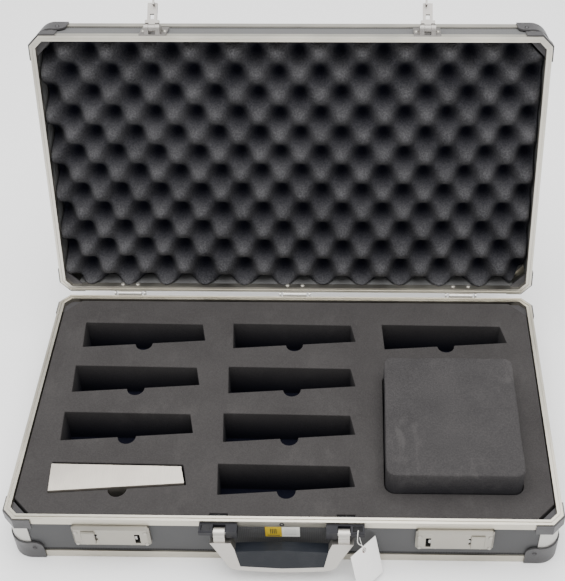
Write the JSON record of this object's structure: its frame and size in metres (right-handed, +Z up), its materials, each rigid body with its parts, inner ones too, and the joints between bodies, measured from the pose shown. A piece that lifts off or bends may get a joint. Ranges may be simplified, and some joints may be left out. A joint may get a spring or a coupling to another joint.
{
  "type": "miniature carry case",
  "caption": "Aluminium-framed carry case for game miniatures, lid open, with a foam insert of tapered pockets, a lift-out foam pad and an egg-crate foam lid.",
  "frame": {"origin": "middle of the flat underside of the base", "axes": "+Z up, front with the locks and handle towards -Y, +X to the right along the width"},
  "size_m": [0.5054, 0.4384, 0.3606],
  "materials": {
    "grey_laminate": "matte grey laminate",
    "satin_silver": "satin silver plate",
    "dark_wheel": "dark, notched",
    "steel": "bright zinc",
    "chrome_plate": "polished",
    "black_plastic": "black, slightly glossy",
    "frame_aluminium": "satin, drawn along its length",
    "post_aluminium": "satin, in shade",
    "grey_plastic": "flat grey",
    "charcoal_foam": "open-cell charcoal foam",
    "pad_foam": "open-cell charcoal foam, scuffed",
    "block_metal": "brushed",
    "label_vinyl": "yellow and white halves",
    "grip_rubber": "black, soft",
    "tag_card": "white card",
    "string_cotton": "white cotton"
  },
  "bodies": {
    "case": {"base_back_panel": "grey_laminate", "base_ball_corners": "black_plastic", "base_bottom_panel": "grey_laminate", "base_corner_gussets": "grey_plastic", "base_corner_posts": "post_aluminium", "base_edge_trim": "frame_aluminium", "base_foam_insert": "charcoal_foam", "base_frame_corners": "black_plastic", "base_front_panel": "grey_laminate", "base_left_panel": "grey_laminate", "base_right_panel": "grey_laminate", "base_rim": "frame_aluminium", "base_rivets": "chrome_plate", "front_label": "label_vinyl", "handle_backing_plates": "steel", "handle_bracket_left": "black_plastic", "handle_bracket_right": "black_plastic", "handle_pins": "steel", "handle_screws": "steel", "hinge_base_leaves": "steel", "hinge_pins": "steel", "lock_axles": "steel", "lock_plate_left": "satin_silver", "lock_plate_right": "satin_silver", "tag_string": "string_cotton"},
    "lid": {"lid_back_panel": "grey_laminate", "lid_ball_corners": "black_plastic", "lid_corner_gussets": "grey_plastic", "lid_corner_posts": "post_aluminium", "lid_edge_trim": "frame_aluminium", "lid_foam": "charcoal_foam", "lid_frame_corners": "black_plastic", "lid_front_panel": "grey_laminate", "lid_left_panel": "grey_laminate", "lid_right_panel": "grey_laminate", "lid_rim": "frame_aluminium", "lid_rivets": "chrome_plate", "lid_top_panel": "grey_laminate", "hinge_lid_leaves": "steel", "hasp_bracket_left": "chrome_plate", "hasp_bracket_right": "chrome_plate", "hasp_pins": "steel"},
    "lever_left": {"hasp_lever_left": "chrome_plate"},
    "lever_right": {"hasp_lever_right": "chrome_plate"},
    "handle": {"handle_bail": "satin_silver", "handle_grip": "grip_rubber"},
    "button_left": {"lock_button_left": "satin_silver", "lock_bar_left": "steel"},
    "button_right": {"lock_button_right": "satin_silver", "lock_bar_right": "steel"},
    "pad": {"foam_pad": "pad_foam"},
    "block": {"tapered_block": "block_metal"},
    "tag": {"hang_tag": "tag_card"},
    "wheel_left_1": {"lock_wheel_left_1": "dark_wheel"},
    "wheel_left_2": {"lock_wheel_left_2": "dark_wheel"},
    "wheel_left_3": {"lock_wheel_left_3": "dark_wheel"},
    "wheel_right_1": {"lock_wheel_right_1": "dark_wheel"},
    "wheel_right_2": {"lock_wheel_right_2": "dark_wheel"},
    "wheel_right_3": {"lock_wheel_right_3": "dark_wheel"}
  },
  "joints": [
    {"name": "lid_hinge", "type": "hinge", "parent": "case", "child": "lid", "pos_m": [0, 0.14275, 0.0602], "axis": [-1, 0, 0], "range_deg": [-105.2, 0], "deforming": ["lid_foam"]},
    {"name": "hasp_left", "type": "hinge", "parent": "lid", "child": "lever_left", "pos_m": [-0.131, 0.22224, 0.33865], "axis": [-1, 0, 0], "range_deg": [-126, 0]},
    {"name": "hasp_right", "type": "hinge", "parent": "lid", "child": "lever_right", "pos_m": [0.131, 0.22224, 0.33865], "axis": [-1, 0, 0], "range_deg": [-126, 0]},
    {"name": "handle_swing", "type": "hinge", "parent": "case", "child": "handle", "pos_m": [0, -0.147, 0.0525], "axis": [-1, 0, 0], "range_deg": [0, 150]},
    {"name": "button_left_slide", "type": "slide", "parent": "case", "child": "button_left", "axis": [1, 0, 0], "range_m": [0, 0.004]},
    {"name": "button_right_slide", "type": "slide", "parent": "case", "child": "button_right", "axis": [-1, 0, 0], "range_m": [0, 0.004]},
    {"name": "wheel_left_1_turn", "type": "hinge", "parent": "case", "child": "wheel_left_1", "pos_m": [-0.1438, -0.1386, 0.0262], "axis": [1, 0, 0], "continuous": true},
    {"name": "wheel_left_2_turn", "type": "hinge", "parent": "case", "child": "wheel_left_2", "pos_m": [-0.1576, -0.1386, 0.0262], "axis": [1, 0, 0], "continuous": true},
    {"name": "wheel_left_3_turn", "type": "hinge", "parent": "case", "child": "wheel_left_3", "pos_m": [-0.1714, -0.1386, 0.0262], "axis": [1, 0, 0], "continuous": true},
    {"name": "wheel_right_1_turn", "type": "hinge", "parent": "case", "child": "wheel_right_1", "pos_m": [0.1438, -0.1386, 0.0262], "axis": [1, 0, 0], "continuous": true},
    {"name": "wheel_right_2_turn", "type": "hinge", "parent": "case", "child": "wheel_right_2", "pos_m": [0.1576, -0.1386, 0.0262], "axis": [1, 0, 0], "continuous": true},
    {"name": "wheel_right_3_turn", "type": "hinge", "parent": "case", "child": "wheel_right_3", "pos_m": [0.1714, -0.1386, 0.0262], "axis": [1, 0, 0], "continuous": true},
    {"name": "pad_lift", "type": "slide", "parent": "case", "child": "pad", "axis": [0, 0, 1], "range_m": [0, 0.06]},
    {"name": "block_lift", "type": "slide", "parent": "case", "child": "block", "axis": [0, 0, 1], "range_m": [0, 0.06]},
    {"name": "tag_swing", "type": "hinge", "parent": "case", "child": "tag", "pos_m": [0.073, -0.155, 0.04], "axis": [0.746, -0.5581, 0.3633], "range_deg": [-20, 20]}
  ]
}
